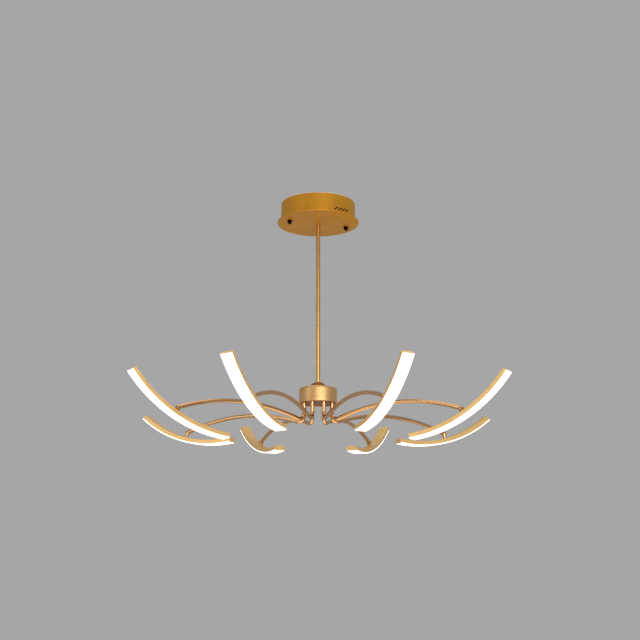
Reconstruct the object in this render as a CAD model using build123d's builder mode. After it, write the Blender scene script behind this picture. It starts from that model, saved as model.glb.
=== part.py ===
from build123d import *
import math
import os

os.makedirs("parts", exist_ok=True)

# A ceiling chandelier, in millimetres. The origin is the middle of the ceiling plane, +Z is up and
# -Y is the front. The canopy hangs from a bracket, a two-piece rod carries the hub, and eight arms
# spread from the hub. Each arm turns in the hub, and a curved light bar turns on each arm's end.

# Canopy and ceiling bracket
canopy_height = 48
canopy_drum_radius = 91
canopy_wall = 1.2
canopy_lip_width = 8
face_overhang = 9
face_radius = canopy_drum_radius + face_overhang
face_thickness = 2.5
face_edge_fillet = 1.0
bracket_width = 28
bracket_thickness = 2.5
bracket_turn = 20
bracket_screw_spacing = 70
bracket_screw_diameter = 5.5
bracket_wire_hole = 14
stud_inset = 17.5
stud_spacing = 2 * (canopy_drum_radius - stud_inset)
bracket_past_studs = 11.5
bracket_length = stud_spacing + 2 * bracket_past_studs
stud_diameter = 4
stud_past_face = 7
cap_nut_across_flats = 11
cap_nut_hex_height = 5
cap_nut_dome_radius = 5.2
stud_hole_clearance = 0.4

# Slanted air slots in the drum wall
vent_count = 4
vent_pitch_angle = 6.8
vent_middle_angle = -51
vent_length = 13
vent_width = 2.8
vent_slant = 58
vent_above_face = 12.5

# Driver on the canopy face
driver_length = 96
driver_width = 38
driver_height = 22
driver_offset = 42
driver_corner = 3
terminal_length = 8
terminal_width = 16
terminal_height = 9

# Rod
rod_diameter = 10
rod_bore = 8
upper_rod_length = 220
hub_drop = 448
rod_end_chamfer = 0.5
coupler_length = 36
coupler_bore = 5.6
rod_past_face = 12
rod_past_cover = 9
rod_nut_across_flats = 15
rod_nut_height = 5
collar_radius = 20
collar_height = 14.5
collar_edge = 2
collar_lean = 0.35

# Hub
hub_radius = 45
hub_height = 36.5
hub_wall = 1.5
hub_top_thickness = 3
hub_edge_fillet = 5.5
hub_groove_width = 1
hub_groove_depth = 0.6
hub_groove_below_top = 6
base_thickness = 4
base_recess = 1.5

# Arms
arm_count = 8
first_arm_angle = -67.5
arm_inset = 10
arm_circle_radius = hub_radius - arm_inset
arm_diameter = 9.5
arm_wall = 1
arm_bend_start = 25
arm_bend_radius = 15
arm_rise_angle = 18
arm_flange_step = 1.75
arm_flange_radius = arm_diameter / 2 + arm_flange_step
arm_flange_thickness = 1.5
arm_head_step = 1.25
arm_head_radius = arm_diameter / 2 + arm_head_step
arm_head_below = 5
arm_head_lip = 2.5
arm_head_chamber_top = 2.2
running_clearance = 0.05
flange_clearance = 0.1

# Swivel pin between an arm and its light bar
pin_diameter = 6
pin_bore = 3
pin_flange_diameter = 8.2
pin_flange_thickness = 1.8
pin_neck = 6
pin_shoulder_diameter = 9
pin_shoulder_height = 1.5

# Light bars: middle of the bar's back, measured from the hub's axis and underside
bar_reach = 376
bar_drop = 54.6
bar_slope = 21.9
bar_back_radius = 323
bar_half_angle = 23.9
bar_width = 26
channel_depth = 9.5
diffuser_depth = 2.5
channel_wall = 1.3
channel_web = 1.5
channel_edge_fillet = 0.6
diffuser_skin = 1.4
diffuser_edge_fillet = 1.0
leg_depth = 3
leg_thickness = 1.2
leg_clearance = 0.1
end_cap_thickness = 1.5
end_plug_length = 4
end_plug_clearance = 0.1
strip_width = 12
strip_thickness = 1.0
strip_end_gap = 8
strip_hole_diameter = 7
led_count = 18
led_length = 3.5
led_width = 2.8
led_height = 0.8

# Two edges closer than this in radius are the same edge
same_radius = 0.01

# How the arms and bars stand: degrees counter-clockwise from evenly spaced arms and from bars in
# line with their arms
arm_turns = [-1, -11, 10, 1.5, 1.5, -6.5, 13.5, 2]
bar_turns = [0, 1.5, -8, -1.5, 0.5, 2, -2.5, -4]

# The arms' ends are bent so that the front bars stand steeper and the back bars flatter than
# bar_slope. The left half mirrors the right half.
right_bar_tilts = [4.5, 6.5, -6, -3.5]
bar_tilts = right_bar_tilts + right_bar_tilts[::-1]

# Levels that follow from the sizes above
face_bottom = -canopy_height
face_top = face_bottom + face_thickness
hub_bottom = face_bottom - hub_drop
hub_top = hub_bottom + hub_height
rod_top = face_top + rod_past_face
rod_joint = face_bottom - upper_rod_length
rod_bottom = hub_top - hub_top_thickness - rod_past_cover
base_bottom = hub_bottom + base_recess
base_top = base_bottom + base_thickness
arm_top = base_top + flange_clearance + arm_flange_thickness
bar_depth = channel_depth + diffuser_depth


def save(piece, name):
    piece.part.label = name
    export_step(piece.part, "parts/" + name + ".step")


def arc_degrees(length, radius):
    return math.degrees(length / radius)


# Ceiling bracket: a flat bar with two welded studs, screw holes and a wire hole
bracket_plane = Plane.XY.rotated((0, 0, bracket_turn))
with BuildPart() as bracket:
    with BuildSketch(bracket_plane):
        SlotOverall(bracket_length, bracket_width)
        Circle(bracket_wire_hole / 2, mode=Mode.SUBTRACT)
        with GridLocations(bracket_screw_spacing, 1, 2, 1):
            Circle(bracket_screw_diameter / 2, mode=Mode.SUBTRACT)
    extrude(amount=-bracket_thickness)
    with BuildSketch(bracket_plane.offset(-bracket_thickness)):
        with GridLocations(stud_spacing, 1, 2, 1):
            Circle(stud_diameter / 2)
    extrude(amount=face_bottom - stud_past_face + bracket_thickness)
save(bracket, "ceiling_bracket")

# Canopy drum: a thin wall with an inward lip at the bottom and slanted air slots
with BuildPart() as drum:
    with BuildSketch(Plane.XY.offset(face_top)):
        Circle(canopy_drum_radius)
        Circle(canopy_drum_radius - canopy_wall, mode=Mode.SUBTRACT)
    extrude(amount=-face_top)
    with BuildSketch(Plane.XY.offset(face_top)):
        Circle(canopy_drum_radius - canopy_wall)
        Circle(canopy_drum_radius - canopy_wall - canopy_lip_width, mode=Mode.SUBTRACT)
    extrude(amount=canopy_wall)
    for index in range(vent_count):
        angle = vent_middle_angle + (index - (vent_count - 1) / 2) * vent_pitch_angle
        outward = Vector(1, 0, 0).rotate(Axis.Z, angle)
        middle = outward * canopy_drum_radius + Vector(0, 0, face_bottom + vent_above_face)
        with BuildSketch(Plane(origin=middle, x_dir=(0, 0, 1), z_dir=outward)):
            SlotOverall(vent_length, vent_width, rotation=-vent_slant)
        extrude(amount=2 * canopy_wall, both=True, mode=Mode.SUBTRACT)
save(drum, "canopy_drum")

# Canopy face: the wide disc under the drum
with BuildPart() as face:
    with BuildSketch(bracket_plane.offset(face_bottom)):
        Circle(face_radius)
        Circle(rod_diameter / 2, mode=Mode.SUBTRACT)
        with GridLocations(stud_spacing, 1, 2, 1):
            Circle(stud_diameter / 2 + stud_hole_clearance / 2, mode=Mode.SUBTRACT)
    extrude(amount=face_thickness)
    rim = face.edges().filter_by(GeomType.CIRCLE).sort_by(lambda edge: edge.radius)[-2:]
    fillet(rim, face_edge_fillet)
save(face, "canopy_face")

# Two acorn nuts that hold the canopy on the studs
with BuildPart() as cap_nuts:
    with BuildSketch(bracket_plane.offset(face_bottom)):
        with GridLocations(stud_spacing, 1, 2, 1):
            RegularPolygon(cap_nut_across_flats / 2, 6, major_radius=False)
    extrude(amount=-cap_nut_hex_height)
    with Locations(bracket_plane.offset(face_bottom - cap_nut_hex_height)):
        with GridLocations(stud_spacing, 1, 2, 1):
            Sphere(cap_nut_dome_radius)
    with BuildSketch(bracket_plane.offset(face_bottom)):
        with GridLocations(stud_spacing, 1, 2, 1):
            Circle(cap_nut_across_flats)
    extrude(amount=cap_nut_dome_radius, mode=Mode.SUBTRACT)
    with BuildSketch(bracket_plane.offset(face_bottom)):
        with GridLocations(stud_spacing, 1, 2, 1):
            Circle(stud_diameter / 2)
    extrude(amount=-stud_past_face, mode=Mode.SUBTRACT)
save(cap_nuts, "canopy_cap_nuts")

# Driver: a closed case with a terminal block at each end, on the canopy face
with BuildPart() as driver:
    with BuildSketch(bracket_plane.offset(face_top)):
        with Locations((0, driver_offset)):
            RectangleRounded(driver_length, driver_width, driver_corner)
    extrude(amount=driver_height)
    fillet(driver.faces().sort_by(Axis.Z)[-1].edges(), driver_corner / 2)
    with BuildSketch(bracket_plane.offset(face_top)):
        with Locations((0, driver_offset)):
            Rectangle(driver_length + 2 * terminal_length, terminal_width)
    extrude(amount=terminal_height)
save(driver, "led_driver")

# Rod: two tubes joined end to end over a hidden coupler
with BuildPart() as upper_rod:
    with BuildSketch(Plane.XY.offset(rod_joint)):
        Circle(rod_diameter / 2)
        Circle(rod_bore / 2, mode=Mode.SUBTRACT)
    extrude(amount=rod_top - rod_joint)
    lowest = upper_rod.faces().sort_by(Axis.Z)[0]
    chamfer(lowest.edges().sort_by(lambda edge: edge.radius)[-1], rod_end_chamfer)
save(upper_rod, "upper_rod")

with BuildPart() as lower_rod:
    with BuildSketch(Plane.XY.offset(rod_bottom)):
        Circle(rod_diameter / 2)
        Circle(rod_bore / 2, mode=Mode.SUBTRACT)
    extrude(amount=rod_joint - rod_bottom)
    highest = lower_rod.faces().sort_by(Axis.Z)[-1]
    chamfer(highest.edges().sort_by(lambda edge: edge.radius)[-1], rod_end_chamfer)
save(lower_rod, "lower_rod")

with BuildPart() as coupler:
    with BuildSketch(Plane.XY.offset(rod_joint - coupler_length / 2)):
        Circle(rod_bore / 2)
        Circle(coupler_bore / 2, mode=Mode.SUBTRACT)
    extrude(amount=coupler_length)
save(coupler, "rod_coupler")

# Nuts on both ends of the rod: one on the canopy face, one under the hub cover's top
with BuildPart() as rod_nuts:
    for level in (face_top, hub_top - hub_top_thickness - rod_nut_height):
        with BuildSketch(Plane.XY.offset(level)):
            RegularPolygon(rod_nut_across_flats / 2, 6, major_radius=False)
            Circle(rod_diameter / 2, mode=Mode.SUBTRACT)
        extrude(amount=rod_nut_height)
save(rod_nuts, "rod_nuts")

# Domed collar where the rod enters the hub
with BuildPart() as collar:
    with BuildSketch(Plane.XZ):
        with BuildLine():
            Polyline(
                (rod_diameter / 2, hub_top + collar_height),
                (rod_diameter / 2, hub_top),
                (collar_radius, hub_top),
                (collar_radius, hub_top + collar_edge),
            )
            TangentArc(
                (collar_radius, hub_top + collar_edge),
                (rod_diameter / 2, hub_top + collar_height),
                tangent=(-collar_lean, 1),
            )
        make_face()
    revolve(axis=Axis.Z)
save(collar, "rod_collar")

# Hub cover: a turned cup, open at the bottom, with a fine groove below its rounded edge
with BuildPart() as cover:
    with BuildSketch(Plane.XY.offset(hub_bottom)):
        Circle(hub_radius)
    extrude(amount=hub_height)
    fillet(cover.faces().sort_by(Axis.Z)[-1].edges(), hub_edge_fillet)
    with BuildSketch(Plane.XY.offset(hub_bottom)):
        Circle(hub_radius - hub_wall)
    extrude(amount=hub_height - hub_top_thickness, mode=Mode.SUBTRACT)
    with BuildSketch(Plane.XY.offset(hub_top - hub_groove_below_top)):
        Circle(hub_radius + hub_wall)
        Circle(hub_radius - hub_groove_depth, mode=Mode.SUBTRACT)
    extrude(amount=hub_groove_width, mode=Mode.SUBTRACT)
    with BuildSketch(Plane.XY.offset(hub_top - hub_top_thickness)):
        Circle(rod_diameter / 2)
    extrude(amount=hub_top_thickness, mode=Mode.SUBTRACT)
save(cover, "hub_cover")

# Hub base: the plate that the arms turn in, pressed into the cover
with BuildPart() as base:
    with BuildSketch(Plane.XY.offset(base_bottom)):
        Circle(hub_radius - hub_wall)
        with PolarLocations(arm_circle_radius, arm_count, start_angle=first_arm_angle):
            Circle(arm_diameter / 2 + running_clearance, mode=Mode.SUBTRACT)
    extrude(amount=base_thickness)
save(base, "hub_base")


def bar_sector(plane, near, far, start, end):
    # A piece of the bar's bent side view, from one depth below its back to another, in degrees
    # along the bar from its middle towards its outer end.
    with BuildSketch(plane) as sector:
        with BuildLine():
            centre = (0, bar_back_radius)
            low = CenterArc(centre, bar_back_radius + far, start - 90, end - start)
            high = CenterArc(centre, bar_back_radius + near, start - 90, end - start)
            Line(low @ 0, high @ 0)
            Line(low @ 1, high @ 1)
        make_face()
    return sector.sketch


def make_arm(number, stub, outward, head_middle, axis):
    # The tube: down out of the hub, round a bend, and over a shallow arch to the ball-shaped head
    plane = Plane(origin=stub, x_dir=outward, z_dir=outward.cross(Vector(0, 0, 1)))
    rise = math.radians(arm_rise_angle)
    bend_end = (
        arm_bend_radius * (1 + math.sin(rise)),
        -arm_bend_start - arm_bend_radius * math.cos(rise),
    )
    head = plane.to_local_coords(head_middle)
    chord = Vector(head.X - bend_end[0], head.Y - bend_end[1])
    arch_half_angle = rise - math.atan2(chord.Y, chord.X)
    arch_radius = chord.length / 2 / math.sin(arch_half_angle)
    arch_turn = -2 * math.degrees(arch_half_angle)
    with BuildPart() as arm:
        with BuildLine(plane) as path:
            Line((0, arm_top - hub_bottom), (0, -arm_bend_start))
            JernArc((0, -arm_bend_start), (0, -1), arm_bend_radius, 90 + arm_rise_angle)
            JernArc(bend_end, (math.cos(rise), math.sin(rise)), arch_radius, arch_turn)
        top = Plane(origin=stub + Vector(0, 0, arm_top - hub_bottom), z_dir=(0, 0, -1))
        with BuildSketch(top) as outside:
            Circle(arm_diameter / 2)
        sweep(outside.sketch, path.wire())
        with BuildSketch(top):
            Circle(arm_flange_radius)
        extrude(amount=arm_flange_thickness)
        with Locations(head_middle):
            Sphere(arm_head_radius)
        with BuildSketch(Plane(origin=head_middle, z_dir=-axis)):
            Circle(arm_head_radius)
        extrude(amount=arm_head_below)
        with BuildSketch(Plane(origin=head_middle - axis * arm_head_below, z_dir=-axis)):
            Circle(arm_head_radius)
        extrude(amount=arm_head_radius, mode=Mode.SUBTRACT)
        chamber_bottom = head_middle - axis * (arm_head_below - arm_head_lip)
        with BuildSketch(Plane(origin=chamber_bottom, z_dir=axis)):
            Circle(pin_flange_diameter / 2 + running_clearance)
        chamber_height = arm_head_chamber_top + arm_head_below - arm_head_lip
        extrude(amount=chamber_height, mode=Mode.SUBTRACT)
        with BuildSketch(Plane(origin=chamber_bottom, z_dir=-axis)):
            Circle(pin_diameter / 2 + running_clearance)
        extrude(amount=arm_head_lip, mode=Mode.SUBTRACT)
        with BuildSketch(top) as inside:
            Circle(arm_diameter / 2 - arm_wall)
        sweep(inside.sketch, path.wire(), mode=Mode.SUBTRACT)
    save(arm, f"arm_tube_{number}")


def make_pin(number, back_middle, axis):
    # Hollow swivel pin: a flange inside the arm's head, a neck and a shoulder riveted to the back
    flange_bottom = pin_neck + arm_head_lip + flange_clearance
    with BuildPart() as pin:
        with BuildSketch(Plane(origin=back_middle - axis * channel_web, z_dir=axis)):
            Circle(pin_diameter / 2)
        extrude(amount=channel_web + flange_bottom)
        with BuildSketch(Plane(origin=back_middle, z_dir=axis)):
            Circle(pin_shoulder_diameter / 2)
        extrude(amount=pin_shoulder_height)
        with BuildSketch(Plane(origin=back_middle + axis * flange_bottom, z_dir=axis)):
            Circle(pin_flange_diameter / 2)
        extrude(amount=pin_flange_thickness)
        with BuildSketch(Plane(origin=back_middle - axis * channel_web, z_dir=axis)):
            Circle(pin_bore / 2)
        extrude(amount=channel_web + flange_bottom + pin_flange_thickness, mode=Mode.SUBTRACT)
    save(pin, f"bar_pin_{number}")


def make_bar(number, back_middle, along, axis):
    # The bar's pieces, from its concave gold back to its convex white face
    plane = Plane(origin=back_middle, x_dir=along, z_dir=along.cross(axis))
    cap_angle = arc_degrees(end_cap_thickness, bar_back_radius)
    plug_angle = arc_degrees(end_plug_length, bar_back_radius)
    channel_end = bar_half_angle - cap_angle
    inside = bar_width / 2 - channel_wall

    with BuildPart() as channel:
        shell = bar_sector(plane, 0, channel_depth, -channel_end, channel_end)
        extrude(shell, amount=bar_width / 2, both=True)
        back_edges = channel.edges().filter_by(GeomType.CIRCLE)
        back_edges = back_edges.filter_by(lambda edge: abs(edge.radius - bar_back_radius) < same_radius)
        fillet(back_edges, channel_edge_fillet)
        hollow = bar_sector(plane, channel_web, channel_depth, -channel_end, channel_end)
        extrude(hollow, amount=inside, both=True, mode=Mode.SUBTRACT)
        with BuildSketch(Plane(origin=back_middle, z_dir=axis)):
            Circle(pin_diameter / 2)
        extrude(amount=2 * channel_web, both=True, mode=Mode.SUBTRACT)
    save(channel, f"light_channel_{number}")

    # The diffuser runs to the bar's outer tip, and a wall of its own closes it there.
    skin_angle = arc_degrees(diffuser_skin, bar_back_radius)
    leg_outside = inside - leg_clearance
    leg_end = channel_end - plug_angle - cap_angle
    with BuildPart() as diffuser:
        lens = bar_sector(plane, channel_depth, bar_depth, -channel_end, bar_half_angle)
        extrude(lens, amount=bar_width / 2, both=True)
        face_edges = diffuser.edges().filter_by(GeomType.CIRCLE)
        face_radius_here = bar_back_radius + bar_depth
        face_edges = face_edges.filter_by(lambda edge: abs(edge.radius - face_radius_here) < same_radius)
        fillet(face_edges, diffuser_edge_fillet)
        legs = bar_sector(plane, channel_depth - leg_depth, channel_depth, -leg_end, leg_end)
        extrude(legs, amount=leg_outside, both=True)
        room_end = bar_half_angle - skin_angle
        room = bar_sector(plane, channel_depth, bar_depth - diffuser_skin, -leg_end, room_end)
        extrude(room, amount=leg_outside - leg_thickness, both=True, mode=Mode.SUBTRACT)
        slot = bar_sector(plane, channel_depth - leg_depth, channel_depth, -leg_end, leg_end)
        extrude(slot, amount=leg_outside - leg_thickness, both=True, mode=Mode.SUBTRACT)
    save(diffuser, f"light_diffuser_{number}")

    # The outer cap closes the channel only, and the inner one also covers the diffuser's end.
    with BuildPart() as caps:
        outer = bar_sector(plane, 0, channel_depth, channel_end, bar_half_angle)
        extrude(outer, amount=bar_width / 2, both=True)
        inner = bar_sector(plane, 0, bar_depth, -bar_half_angle, -channel_end)
        extrude(inner, amount=bar_width / 2, both=True)
        plug_near = channel_web + end_plug_clearance
        plug_far = channel_depth - end_plug_clearance
        for start in (channel_end - plug_angle, -channel_end):
            plug = bar_sector(plane, plug_near, plug_far, start, start + plug_angle)
            extrude(plug, amount=inside - end_plug_clearance, both=True)
    save(caps, f"bar_end_caps_{number}")

    # LED strip on the channel's web, with a hole for the swivel pin's wires
    strip_end = channel_end - arc_degrees(strip_end_gap, bar_back_radius)
    strip_face = channel_web + strip_thickness
    led_angle = arc_degrees(led_length, bar_back_radius)
    led_pitch = 2 * (strip_end - led_angle) / (led_count - 1)
    with BuildPart() as strip:
        tape = bar_sector(plane, channel_web, strip_face, -strip_end, strip_end)
        extrude(tape, amount=strip_width / 2, both=True)
        with BuildSketch(Plane(origin=back_middle, z_dir=-axis)):
            Circle(strip_hole_diameter / 2)
        extrude(amount=bar_depth, mode=Mode.SUBTRACT)
        for index in range(led_count):
            middle = (index - (led_count - 1) / 2) * led_pitch
            chip = bar_sector(
                plane,
                strip_face,
                strip_face + led_height,
                middle - led_angle / 2,
                middle + led_angle / 2,
            )
            extrude(chip, amount=led_width / 2, both=True)
    save(strip, f"led_strip_{number}")


for arm in range(arm_count):
    arm_angle = first_arm_angle + arm * 360 / arm_count
    stub = Vector(arm_circle_radius, 0, hub_bottom).rotate(Axis.Z, arm_angle)
    outward = Vector(1, 0, 0).rotate(Axis.Z, arm_angle + arm_turns[arm])
    upward = Vector(0, 0, 1)
    slope = math.radians(bar_slope + bar_tilts[arm])
    along_arm = outward * math.cos(slope) + upward * math.sin(slope)
    axis = upward * math.cos(slope) - outward * math.sin(slope)
    back_middle = stub + outward * (bar_reach - arm_circle_radius) - upward * bar_drop
    head_middle = back_middle + axis * (pin_neck + arm_head_below)
    bar_turn = math.radians(bar_turns[arm])
    along_bar = along_arm * math.cos(bar_turn) + axis.cross(along_arm) * math.sin(bar_turn)
    make_arm(arm + 1, stub, outward, head_middle, axis)
    make_pin(arm + 1, back_middle, axis)
    make_bar(arm + 1, back_middle, along_bar, axis)
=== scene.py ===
import math

import bmesh
import bpy
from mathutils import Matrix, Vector


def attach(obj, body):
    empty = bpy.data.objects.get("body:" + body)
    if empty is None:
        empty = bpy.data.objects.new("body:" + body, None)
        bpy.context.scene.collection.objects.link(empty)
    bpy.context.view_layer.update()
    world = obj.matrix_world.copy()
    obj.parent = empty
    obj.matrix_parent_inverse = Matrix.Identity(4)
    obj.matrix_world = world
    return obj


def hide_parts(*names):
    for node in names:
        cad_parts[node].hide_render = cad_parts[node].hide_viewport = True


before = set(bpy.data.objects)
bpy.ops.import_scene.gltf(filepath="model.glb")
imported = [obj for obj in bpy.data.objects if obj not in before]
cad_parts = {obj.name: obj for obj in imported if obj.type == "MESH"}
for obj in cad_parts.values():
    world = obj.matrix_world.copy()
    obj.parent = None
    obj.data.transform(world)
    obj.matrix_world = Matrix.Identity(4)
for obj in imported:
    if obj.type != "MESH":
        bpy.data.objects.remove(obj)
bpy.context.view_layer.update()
print("frame loaded", len(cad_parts), "nodes")

mm = 0.001


def hexColour(code):
    # sRGB hex to the linear colour that Blender's sockets hold
    parts = [int(code[i:i + 2], 16) / 255 for i in (1, 3, 5)]
    line = [v / 12.92 if v <= 0.04045 else ((v + 0.055) / 1.055) ** 2.4 for v in parts]
    return (*line, 1.0)


def addNode(tree, kind, settings=None, links=None, **sockets):
    # settings are node properties, sockets are input values, links are input name -> output socket
    node = tree.nodes.new(kind)
    for name, value in (settings or {}).items():
        setattr(node, name, value)
    for name, value in sockets.items():
        node.inputs[name.replace("_", " ")].default_value = value
    for name, source in (links or {}).items():
        tree.links.new(source, node.inputs[name])
    return node


def startMaterial(name):
    material = bpy.data.materials.new(name)
    material.use_nodes = True
    tree = material.node_tree
    tree.nodes.clear()
    shader = addNode(tree, "ShaderNodeBsdfPrincipled")
    addNode(tree, "ShaderNodeOutputMaterial", links={"Surface": shader.outputs["BSDF"]})
    return material, tree, shader


def placeOf(tree):
    return addNode(tree, "ShaderNodeTexCoord").outputs["Object"]


def plainMaterial(name, colour, roughness):
    material, tree, shader = startMaterial(name)
    shader.inputs["Base Color"].default_value = hexColour(colour)
    shader.inputs["Roughness"].default_value = roughness
    return material


# Shared by every finish: band is where most of a noise pattern's values lie
pattern = {"band": (0.3, 0.7), "grainDetail": 3.0, "grainRoughness": 0.6, "driftDetail": 2.0}
# A Mix node names its number, vector and colour sockets alike, so the colour ones go by place
mixSocket = {"share": 0, "under": 6, "over": 7, "result": 2}


def metalFinish(name, look):
    # One finish: a colour that drifts between two tones, and a grain in the roughness and the relief
    material, tree, shader = startMaterial(name)
    place = placeOf(tree)
    bandLow, bandHigh = pattern["band"]
    shader.inputs["Metallic"].default_value = look["metallic"]
    if "gloss" in look:
        shader.inputs["Specular IOR Level"].default_value = look["gloss"]
    stretch = addNode(tree, "ShaderNodeMapping", links={"Vector": place},
                      Scale=look.get("stretch", (1, 1, 1)))
    grain = addNode(tree, "ShaderNodeTexNoise", links={"Vector": stretch.outputs[0]},
                    Scale=1 / look["grainSize"], Detail=pattern["grainDetail"],
                    Roughness=pattern["grainRoughness"])
    drift = addNode(tree, "ShaderNodeTexNoise", links={"Vector": place},
                    Scale=1 / look["driftSize"], Detail=pattern["driftDetail"])
    tone = addNode(tree, "ShaderNodeValToRGB", links={"Fac": drift.outputs["Fac"]})
    shade, tint = tone.color_ramp.elements
    shade.position = bandLow
    shade.color = hexColour(look["shade"])
    tint.position = bandHigh
    tint.color = hexColour(look["tint"])
    colour = tone.outputs["Color"]
    if "lineTone" in look:
        lineLow, lineHigh = look["lineBand"]
        lines = addNode(tree, "ShaderNodeMapRange", links={"Value": grain.outputs["Fac"]},
                        From_Min=lineLow, From_Max=lineHigh, To_Min=0.0, To_Max=look["lineShare"])
        streak = addNode(tree, "ShaderNodeMix", {"data_type": "RGBA"})
        tree.links.new(lines.outputs["Result"], streak.inputs[mixSocket["share"]])
        tree.links.new(colour, streak.inputs[mixSocket["under"]])
        streak.inputs[mixSocket["over"]].default_value = hexColour(look["lineTone"])
        colour = streak.outputs[mixSocket["result"]]
    tree.links.new(colour, shader.inputs["Base Color"])
    smoothest, roughest = look["roughness"]
    rough = addNode(tree, "ShaderNodeMapRange", links={"Value": grain.outputs["Fac"]},
                    From_Min=bandLow, From_Max=bandHigh, To_Min=smoothest, To_Max=roughest)
    tree.links.new(rough.outputs["Result"], shader.inputs["Roughness"])
    relief = addNode(tree, "ShaderNodeBump", links={"Height": grain.outputs["Fac"]},
                     Strength=look["relief"], Distance=look["reliefDepth"])
    tree.links.new(relief.outputs["Normal"], shader.inputs["Normal"])
    return material


# Gold paint over pressed steel, sprayed: an even satin gold that stays warm in the shade
canopyLook = {"metallic": 0.45, "shade": "#BE8626", "tint": "#C88F2C", "roughness": (0.36, 0.44),
              "grainSize": 1.2 * mm, "driftSize": 60 * mm, "relief": 0.04, "reliefDepth": 0.05 * mm,
              "gloss": 0.15}
# Brushed brass, turned on a lathe: level lines round the axis, drawn coarser than real ones to show
hubLook = {"metallic": 1.0, "shade": "#DCB47C", "tint": "#E3BD86", "roughness": (0.40, 0.54),
           "grainSize": 3 * mm, "driftSize": 40 * mm, "relief": 0.10, "reliefDepth": 0.06 * mm,
           "stretch": (0.10, 0.10, 3.0), "lineTone": "#C0873F", "lineShare": 0.6,
           "lineBand": (0.52, 0.72)}
# Bent brass tube, polished and lacquered: smooth, with a bright line along it and darker edges
tubeLook = {"metallic": 1.0, "shade": "#D2A474", "tint": "#DAAF80", "roughness": (0.20, 0.23),
            "grainSize": 12 * mm, "driftSize": 30 * mm, "relief": 0.02, "reliefDepth": 0.01 * mm}
# Rod tube, gold plated and softly brushed along its length
rodLook = {"metallic": 1.0, "shade": "#D3A462", "tint": "#DCAE6C", "roughness": (0.26, 0.34),
           "grainSize": 2 * mm, "driftSize": 40 * mm, "relief": 0.03, "reliefDepth": 0.03 * mm,
           "stretch": (3.0, 3.0, 0.1)}
# Extruded aluminium, anodised gold: satin, with a fine even grain. Both tones are painted paler than
# the metal: painted light standing for the diodes' glow spilling onto the channel
profileLook = {"metallic": 0.5, "shade": "#E8BE78", "tint": "#F0CA88", "roughness": (0.34, 0.44),
               "grainSize": 1.5 * mm, "driftSize": 50 * mm, "relief": 0.04,
               "reliefDepth": 0.05 * mm}
# Dark gold lacquer, brushed on: half matt and brown where it isn't lit
darkGoldLook = {"metallic": 0.7, "shade": "#7E4F1E", "tint": "#8C5A26", "roughness": (0.35, 0.45),
                "grainSize": 2 * mm, "driftSize": 30 * mm, "relief": 0.03,
                "reliefDepth": 0.05 * mm}
# Steel nut, plated and polished almost black: smooth enough for a small hard glint
nutLook = {"metallic": 1.0, "shade": "#1E1210", "tint": "#2A1814", "roughness": (0.10, 0.16),
           "grainSize": 1 * mm, "driftSize": 8 * mm, "relief": 0.02, "reliefDepth": 0.02 * mm}
# Zinc plate on steel: cloudy grey spangle
zincLook = {"metallic": 1.0, "shade": "#A9ADB0", "tint": "#C4C6C6", "roughness": (0.30, 0.50),
            "grainSize": 4 * mm, "driftSize": 15 * mm, "relief": 0.08, "reliefDepth": 0.1 * mm}
# Moulded polycarbonate case: off-white with a fine spark-eroded texture
caseLook = {"metallic": 0.0, "shade": "#DEDEDA", "tint": "#E6E6E2", "roughness": (0.45, 0.6),
            "grainSize": 0.8 * mm, "driftSize": 40 * mm, "relief": 0.15, "reliefDepth": 0.1 * mm}
# White solder mask on a flexible board: smooth, with a slight orange peel
boardLook = {"metallic": 0.0, "shade": "#EDEDE6", "tint": "#F4F4EE", "roughness": (0.35, 0.5),
             "grainSize": 1 * mm, "driftSize": 10 * mm, "relief": 0.05, "reliefDepth": 0.05 * mm}

goldPaint = metalFinish("gold_painted_steel", canopyLook)
brushedBrass = metalFinish("brushed_turned_brass", hubLook)
polishedBrass = metalFinish("lacquered_brass_tube", tubeLook)
platedRod = metalFinish("gold_plated_rod", rodLook)
# Channel and end caps: gold with a painted glow from the diodes laid into its colour
anodisedGoldWithPaintedSpill = metalFinish("gold_anodised_aluminium", profileLook)
darkLacquer = metalFinish("dark_gold_lacquer", darkGoldLook)
darkBronze = metalFinish("dark_bronze_plated_nut", nutLook)
zincSteel = metalFinish("zinc_plated_steel", zincLook)
whiteCase = metalFinish("white_polycarbonate", caseLook)
ledBoard = metalFinish("white_solder_mask", boardLook)

# Moulded silicone over the diodes: matt, milky, and evenly lit from inside
diffuserLook = {"colour": "#F4F2EC", "glow": "#FFF3E0", "glowPeak": "#FFFAF2", "strength": 1.6,
                "roughness": 0.55, "grainSize": 2 * mm, "grainDetail": 2.0, "cloudSize": 14 * mm,
                "cloudDetail": 1.0, "relief": 0.1, "reliefDepth": 0.05 * mm}


def siliconeDiffuser(look):
    material, tree, shader = startMaterial("lit_white_silicone")
    place = placeOf(tree)
    skin = addNode(tree, "ShaderNodeTexNoise", links={"Vector": place},
                   Scale=1 / look["grainSize"], Detail=look["grainDetail"])
    relief = addNode(tree, "ShaderNodeBump", links={"Height": skin.outputs["Fac"]},
                     Strength=look["relief"], Distance=look["reliefDepth"])
    tree.links.new(relief.outputs["Normal"], shader.inputs["Normal"])
    cloud = addNode(tree, "ShaderNodeTexNoise", links={"Vector": place},
                    Scale=1 / look["cloudSize"], Detail=look["cloudDetail"])
    glow = addNode(tree, "ShaderNodeValToRGB", links={"Fac": cloud.outputs["Fac"]})
    dim, bright = glow.color_ramp.elements
    dim.color = hexColour(look["glow"])
    bright.color = hexColour(look["glowPeak"])
    tree.links.new(glow.outputs["Color"], shader.inputs["Emission Color"])
    shader.inputs["Base Color"].default_value = hexColour(look["colour"])
    shader.inputs["Roughness"].default_value = look["roughness"]
    shader.inputs["Emission Strength"].default_value = look["strength"]
    return material


litSilicone = siliconeDiffuser(diffuserLook)
print("materials made")

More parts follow.
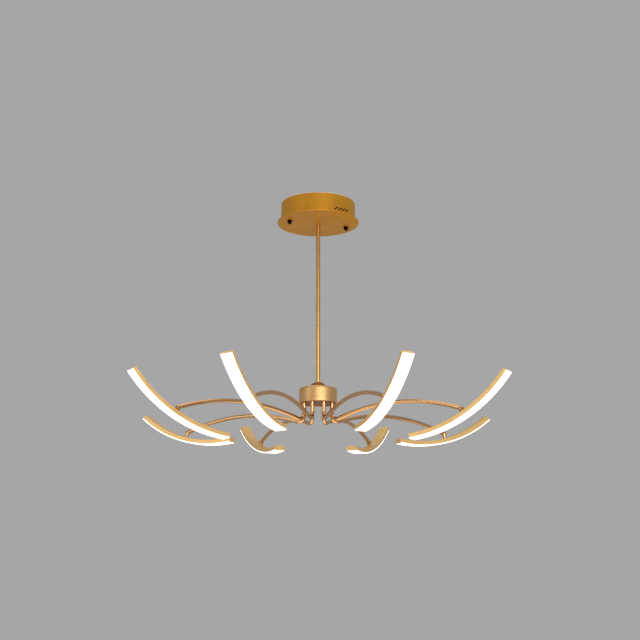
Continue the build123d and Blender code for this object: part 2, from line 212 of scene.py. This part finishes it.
# Numbered pieces are listed once, without their number
finishes = {
    "ceiling_bracket": zincSteel, "canopy_drum": goldPaint, "canopy_face": goldPaint,
    "canopy_cap_nuts": darkBronze, "led_driver": whiteCase, "upper_rod": platedRod,
    "rod_coupler": zincSteel, "lower_rod": platedRod, "rod_nuts": zincSteel,
    "rod_collar": darkLacquer, "hub_cover": brushedBrass, "hub_base": darkLacquer,
    "arm_tube": polishedBrass, "bar_pin": polishedBrass, "light_channel": anodisedGoldWithPaintedSpill,
    "light_diffuser": litSilicone, "bar_end_caps": anodisedGoldWithPaintedSpill, "led_strip": ledBoard,
}


def finishOf(node):
    return finishes.get(node) or finishes[node.rsplit("_", 1)[0]]


for node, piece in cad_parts.items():
    for slot in piece.material_slots:
        slot.material = finishOf(node)
print("CAD pieces finished")

# Round pieces on show are copied with their facets joined and shaded smooth, sharp from creaseFrom up.
# The fine slanting ticks along the arm tubes are there with or without this.
polish = {"pieces": ("arm_tube", "upper_rod", "lower_rod", "hub_cover", "canopy_drum",
                     "canopy_face", "rod_collar", "canopy_cap_nuts", "light_channel"),
          "joinWithin": 0.002 * mm, "creaseFrom": math.radians(28), "shadowEase": 0.6}


def bodyOf(node):
    stem, number = node.rsplit("_", 1)
    if not number.isdigit():
        return "fixture"
    return ("arm_" if stem == "arm_tube" else "light_bar_") + number


def polishedCopy(node):
    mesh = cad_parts[node].data.copy()
    shape = bmesh.new()
    shape.from_mesh(mesh)
    bmesh.ops.remove_doubles(shape, verts=shape.verts, dist=polish["joinWithin"])
    shape.to_mesh(mesh)
    shape.free()
    if "custom_normal" in mesh.attributes:
        mesh.attributes.remove(mesh.attributes["custom_normal"])
    mesh.polygons.foreach_set("use_smooth", [True] * len(mesh.polygons))
    mesh.set_sharp_from_angle(angle=polish["creaseFrom"])
    mesh.materials.clear()
    mesh.materials.append(finishOf(node))
    piece = bpy.data.objects.new(node + "_polished", mesh)
    bpy.context.scene.collection.objects.link(piece)
    piece.cycles.shadow_terminator_geometry_offset = polish["shadowEase"]
    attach(piece, bodyOf(node))
    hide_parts(node)


for node in sorted(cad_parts):
    if node in polish["pieces"] or node.rsplit("_", 1)[0] in polish["pieces"]:
        polishedCopy(node)
print("round pieces polished")

ringSides = 96  # straight sides of the floor's and the ceiling plate's outline
floorLook = {"level": -2.4, "radius": 3.0, "colour": "#D9D9D6", "roughness": 0.8}
wallLook = {"colour": "#A6A6A6", "strength": 1.0}
# The patch of ceiling that closes the canopy from above, hidden from the export
ceilingLook = {"radius": 89 * mm, "low": 0.3 * mm, "high": 2 * mm, "colour": "#CFCDC8",
               "roughness": 0.9}


def makeFloor(look):
    ring = [2 * math.pi * i / ringSides for i in range(ringSides)]
    points = [(math.cos(a) * look["radius"], math.sin(a) * look["radius"], look["level"])
              for a in ring]
    mesh = bpy.data.meshes.new("studio_floor")
    mesh.from_pydata(points, [], [list(range(ringSides))])
    mesh.materials.append(plainMaterial("pale_studio_floor", look["colour"], look["roughness"]))
    floor = bpy.data.objects.new("studio_floor", mesh)
    bpy.context.scene.collection.objects.link(floor)


def makeCeilingPlate(look):
    shape = bmesh.new()
    ring = bmesh.ops.create_circle(shape, cap_ends=True, segments=ringSides, radius=look["radius"])
    grown = bmesh.ops.extrude_face_region(shape, geom=shape.faces[:])["geom"]
    for vertex in ring["verts"]:
        vertex.co.z = look["low"]
    for item in grown:
        if isinstance(item, bmesh.types.BMVert):
            item.co.z = look["high"]
    bmesh.ops.recalc_face_normals(shape, faces=shape.faces)
    mesh = bpy.data.meshes.new("ceiling_plate")
    shape.to_mesh(mesh)
    shape.free()
    mesh.materials.append(plainMaterial("shaded_ceiling_plaster", look["colour"], look["roughness"]))
    ceiling = bpy.data.objects.new("ceiling_plate", mesh)
    bpy.context.scene.collection.objects.link(ceiling)


def makeWorld(look):
    world = bpy.data.worlds.new("studio_air")
    world.use_nodes = True
    back = world.node_tree.nodes["Background"]
    back.inputs["Color"].default_value = hexColour(look["colour"])
    back.inputs["Strength"].default_value = look["strength"]
    bpy.context.scene.world = world


# Every lamp points at the hub. Places and sizes are in metres, power in watts.
hubMiddle = (0, 0, -0.48)
lamps = {
    "softbox_front": {"place": (1.0, -3.2, -0.5), "size": (2.8, 1.6), "power": 62,
                      "colour": "#FFF6EA"},
    "softbox_left": {"place": (-2.6, -1.6, -0.4), "size": (1.0, 1.6), "power": 10,
                     "colour": "#FFF6EA"},
    "overhead_panel": {"place": (0, -0.3, 1.4), "size": (2.0, 2.0), "power": 16,
                       "colour": "#FFF6EA"},
    "floor_glow": {"place": (0, -0.2, -2.2), "size": (2.4, 2.4), "power": 26,
                   "colour": "#FFE6C4"},
}


def makeLamp(name, look):
    light = bpy.data.lights.new(name, "AREA")
    light.shape = "RECTANGLE"
    light.size, light.size_y = look["size"]
    light.energy = look["power"]
    light.color = hexColour(look["colour"])[:3]
    lamp = bpy.data.objects.new(name, light)
    lamp.location = look["place"]
    towards = Vector(hubMiddle) - Vector(look["place"])
    lamp.rotation_euler = towards.to_track_quat("-Z", "Y").to_euler()
    bpy.context.scene.collection.objects.link(lamp)


# The eye is below the hub and looks up at it. Focal length and sensor width are in millimetres.
lens = {"place": (0.0046, -2.636, -0.954), "pitch": 14.09, "focal": 63.45, "sensor": 36}


def makeCamera(look):
    camera = bpy.data.objects.new("camera", bpy.data.cameras.new("camera"))
    camera.data.lens = look["focal"]
    camera.data.sensor_width = look["sensor"]
    camera.location = look["place"]
    camera.rotation_euler = (math.radians(90 + look["pitch"]), 0, 0)
    bpy.context.scene.collection.objects.link(camera)
    bpy.context.scene.camera = camera


makeFloor(floorLook)
makeCeilingPlate(ceilingLook)
makeWorld(wallLook)
for name, look in lamps.items():
    makeLamp(name, look)
makeCamera(lens)
bpy.context.scene.view_settings.view_transform = "Standard"
print("studio made")
